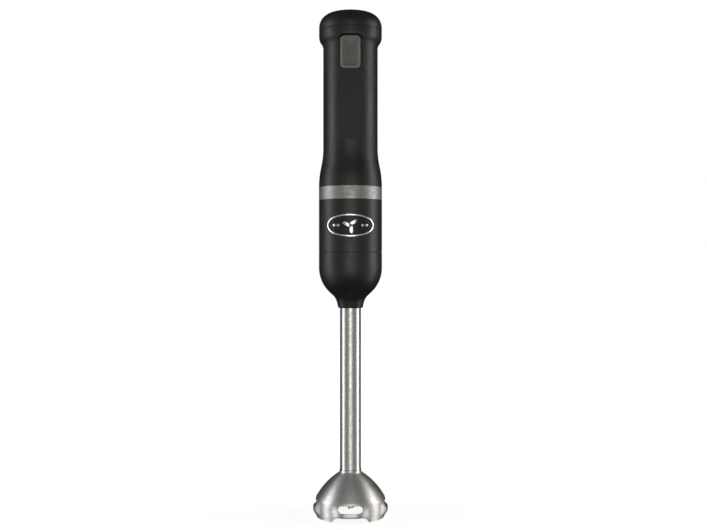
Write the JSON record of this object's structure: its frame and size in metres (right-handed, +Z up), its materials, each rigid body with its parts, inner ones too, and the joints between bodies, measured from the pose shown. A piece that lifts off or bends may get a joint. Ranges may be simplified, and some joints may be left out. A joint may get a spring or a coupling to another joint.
{
  "type": "immersion blender",
  "caption": "Cordless stick blender: battery handle with a power button, a twist-lock blending arm and a vented steel blade guard.",
  "frame": {"origin": "on the shaft axis, at the level of the blade guard's rim, which the blender stands on", "axes": "+Z up along the shaft to the end cap; the power button faces -Y; +X is to the right seen from the button side"},
  "size_m": [0.064, 0.064, 0.431],
  "materials": {
    "black_shell": "soft-touch satin",
    "black_gloss": "fine satin",
    "grey_button": "satin",
    "brushed_steel": "circular brushed",
    "blade_steel": "ground",
    "plated_steel": "plated",
    "satin_metal": "satin",
    "bronze": "sintered",
    "white_nylon": "moulded",
    "grey_moulding": "moulded",
    "silicone": "soft",
    "black_rubber": "matte",
    "motor_steel": "zinc plated",
    "lamination": "laminated",
    "magnet": "sintered",
    "copper": "enamelled wire",
    "carbon": "pressed",
    "circuit_board": "lacquered",
    "cell_wrap": "shrink wrap",
    "nickel": "plated"
  },
  "bodies": {
    "handle": {"front_shell": "black_shell", "rear_shell": "black_shell", "end_cap": "black_shell", "cap_seal": "black_rubber", "joint_gasket": "black_rubber", "front_panel": "black_gloss", "motor_housing": "black_shell", "trim_ring": "brushed_steel", "badge": "satin_metal", "bayonet_ring": "grey_moulding", "shell_screws": "plated_steel", "charge_socket": "nickel", "board_bracket": "grey_moulding", "control_board": "circuit_board", "trigger_switch": "grey_moulding", "button_spring": "plated_steel", "battery_cells": "cell_wrap", "battery_carrier": "grey_moulding", "cell_straps": "nickel", "motor_can": "motor_steel", "field_magnets": "magnet", "motor_end_bell": "grey_moulding", "motor_brushes": "carbon", "motor_bearings": "plated_steel", "motor_mount": "grey_moulding", "motor_screws": "plated_steel", "motor_damper": "black_rubber"},
    "arm": {"arm_housing": "black_shell", "lock_collar": "grey_moulding", "shaft_tube": "brushed_steel", "bell": "brushed_steel", "bearing_carrier": "white_nylon", "upper_bearing": "plated_steel", "shaft_guides": "white_nylon", "lower_bush": "bronze", "shaft_seal": "silicone"},
    "drive": {"drive_shaft": "plated_steel", "shaft_clip": "plated_steel", "drive_socket": "white_nylon", "blade": "blade_steel", "blade_hub": "grey_moulding", "blade_nut": "plated_steel"},
    "rotor": {"motor_shaft": "plated_steel", "armature": "lamination", "windings": "copper", "commutator": "copper", "motor_fan": "white_nylon", "drive_dog": "grey_moulding"},
    "button": {"power_button": "grey_button"},
    "plunger": {"switch_plunger": "white_nylon"}
  },
  "joints": [
    {"name": "power_button_press", "type": "slide", "parent": "handle", "child": "button", "axis": [0, 1, 0], "range_m": [0, 0.0022], "stiffness_N_per_m": 900, "springref_m": -0.0015, "deforming": ["button_spring"]},
    {"name": "switch_plunger_press", "type": "slide", "parent": "handle", "child": "plunger", "axis": [0, 1, 0], "range_m": [0, 0.0023]},
    {"name": "arm_twist_lock", "type": "hinge", "parent": "handle", "child": "arm", "pos_m": [0, 0, 0.2252], "axis": [0, 0, 1], "range_deg": [0, 30]},
    {"name": "motor_spin", "type": "hinge", "parent": "handle", "child": "rotor", "pos_m": [0, 0, 0.26], "axis": [0, 0, 1], "continuous": true},
    {"name": "blade_spin", "type": "hinge", "parent": "handle", "child": "drive", "pos_m": [0, 0, 0.1], "axis": [0, 0, 1], "continuous": true}
  ],
  "couplings": [
    {"joint": "switch_plunger_press", "follows": "power_button_press", "ratio": 1},
    {"joint": "blade_spin", "follows": "motor_spin", "ratio": 1}
  ]
}
